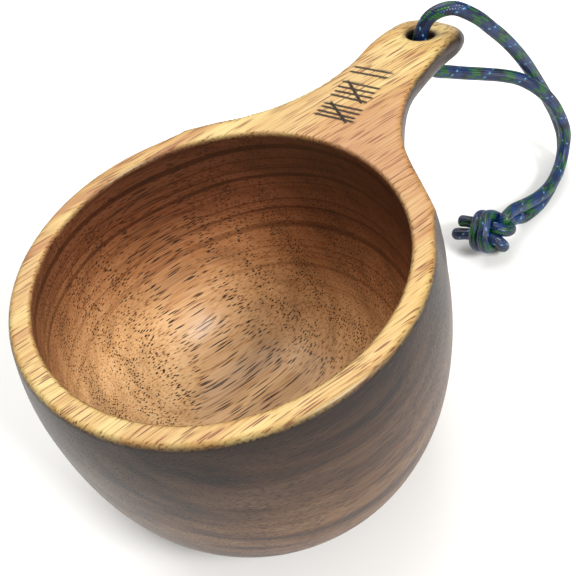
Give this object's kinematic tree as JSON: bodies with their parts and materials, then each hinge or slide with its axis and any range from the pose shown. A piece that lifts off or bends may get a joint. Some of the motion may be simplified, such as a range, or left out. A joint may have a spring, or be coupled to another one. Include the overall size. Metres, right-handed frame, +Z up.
{
  "type": "carved wooden drinking cup with cord lanyard",
  "caption": "Round-bellied wooden cup carved in one piece with a flat waisted handle, and a knotted cord loop through the hole near the handle's tip.",
  "frame": {"origin": "centre of the flat foot that the cup stands on", "axes": "+Z up through the centre of the bowl, +X from the bowl's centre along the handle to its tip"},
  "size_m": [0.1828, 0.0984, 0.0746],
  "materials": {
    "acacia_wood": "oiled, sanded smooth",
    "braided_cord": "braided nylon sheath, blue with green flecks"
  },
  "bodies": {
    "cup": {"cup": "acacia_wood"},
    "lanyard": {"cord_upper_strand": "braided_cord", "cord_lower_strand": "braided_cord", "cord_knot": "braided_cord", "cord_tail_a": "braided_cord", "cord_tail_b": "braided_cord"}
  },
  "joints": [
    {"name": "lanyard_swing", "type": "hinge", "parent": "cup", "child": "lanyard", "pos_m": [0.0905, 0, 0.063], "axis": [0, 0, 1], "range_deg": [-65, 120]}
  ]
}
